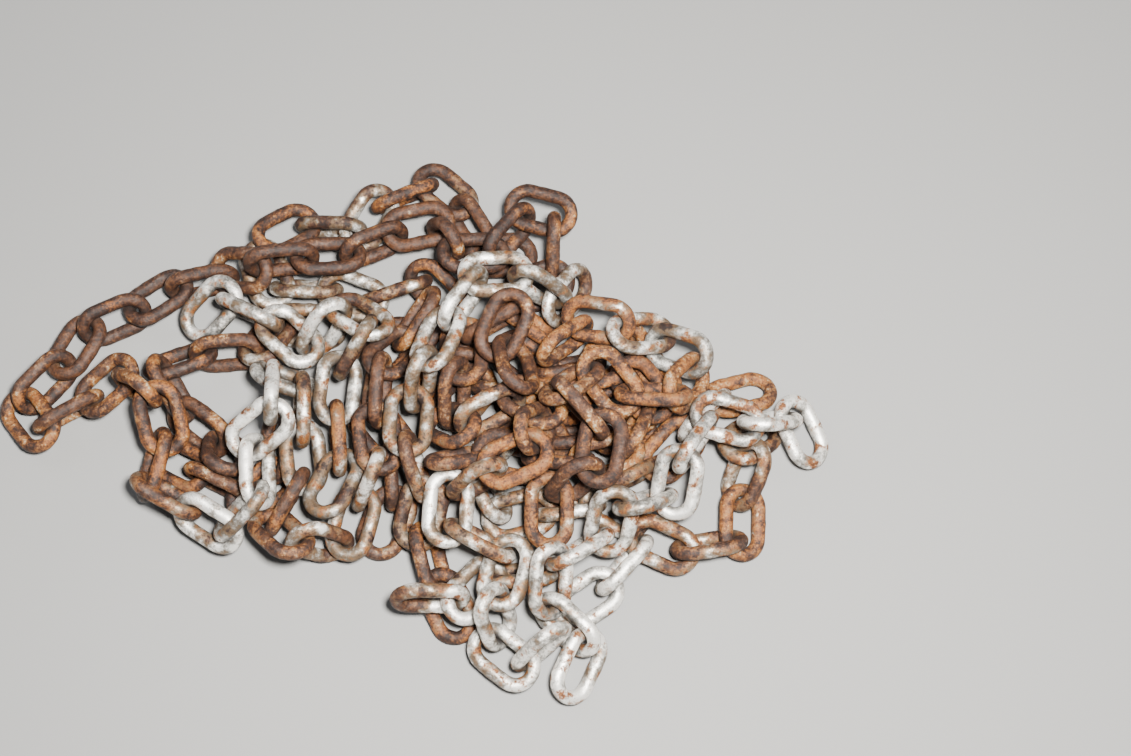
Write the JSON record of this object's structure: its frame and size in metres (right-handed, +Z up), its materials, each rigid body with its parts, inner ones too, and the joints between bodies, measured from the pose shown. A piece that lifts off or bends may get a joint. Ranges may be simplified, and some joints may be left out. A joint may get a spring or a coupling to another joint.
{
  "type": "chain heap",
  "caption": "Low loose heap of old round-bar chain lying on the floor, short oval links in crossing loops, part rusty and part dull zinc grey, with free ends",
  "frame": {"origin": "on the floor, under the middle of the heap's bounding box", "axes": "+Z up from the floor, +X along the heap's longest side, towards the long loose end; +Y away from the viewer of the picture"},
  "size_m": [0.8144, 0.5548, 0.1396],
  "materials": {
    "dark_rust": "matte, thick dark rust",
    "orange_rust": "matte, bright orange rust",
    "blotched_zinc": "dull zinc with rust blotches",
    "dull_zinc": "dull weathered zinc"
  },
  "bodies": {
    "root": {"back_strand_1": "blotched_zinc", "back_strand_2": "blotched_zinc", "bottom_left_1": "blotched_zinc", "brown_top_1": "orange_rust", "brown_top_2": "orange_rust", "brown_top_3": "orange_rust", "brown_top_4": "orange_rust", "brown_top_5": "orange_rust", "curl_1": "dark_rust", "end_link": "dull_zinc", "floor_centre_1": "dark_rust", "floor_centre_2": "dark_rust", "floor_centre_3": "dark_rust", "floor_centre_4": "dark_rust", "floor_centre_5": "dark_rust", "floor_left_1": "dark_rust", "floor_side_1": "dark_rust", "floor_side_2": "dark_rust", "grey_top_1": "blotched_zinc", "grey_top_2": "blotched_zinc", "grey_top_3": "blotched_zinc", "grey_top_4": "blotched_zinc", "left_low_1": "dark_rust", "left_low_2": "dark_rust", "low_right_1": "blotched_zinc", "low_right_2": "blotched_zinc", "lower_grey_1": "blotched_zinc", "lower_grey_2": "blotched_zinc", "middle_layer_1": "orange_rust", "middle_layer_2": "orange_rust", "middle_layer_3": "orange_rust", "orange_top_1": "orange_rust", "orange_top_2": "orange_rust", "orange_top_3": "orange_rust", "orange_top_4": "orange_rust", "right_low_1": "blotched_zinc", "rust_loop_1": "dark_rust", "rust_loop_10": "dark_rust", "rust_loop_11": "dark_rust", "rust_loop_12": "dark_rust", "rust_loop_13": "dark_rust", "rust_loop_2": "dark_rust", "rust_loop_3": "dark_rust", "rust_loop_4": "dark_rust", "rust_loop_5": "dark_rust", "rust_loop_6": "dark_rust", "rust_loop_7": "dark_rust", "rust_loop_8": "dark_rust", "rust_loop_9": "dark_rust", "white_loop_1": "dull_zinc", "white_loop_2": "dull_zinc", "white_loop_3": "dull_zinc", "white_top_2": "dull_zinc", "white_top_3": "dull_zinc", "white_top_4": "dull_zinc"}
  },
  "joints": []
}
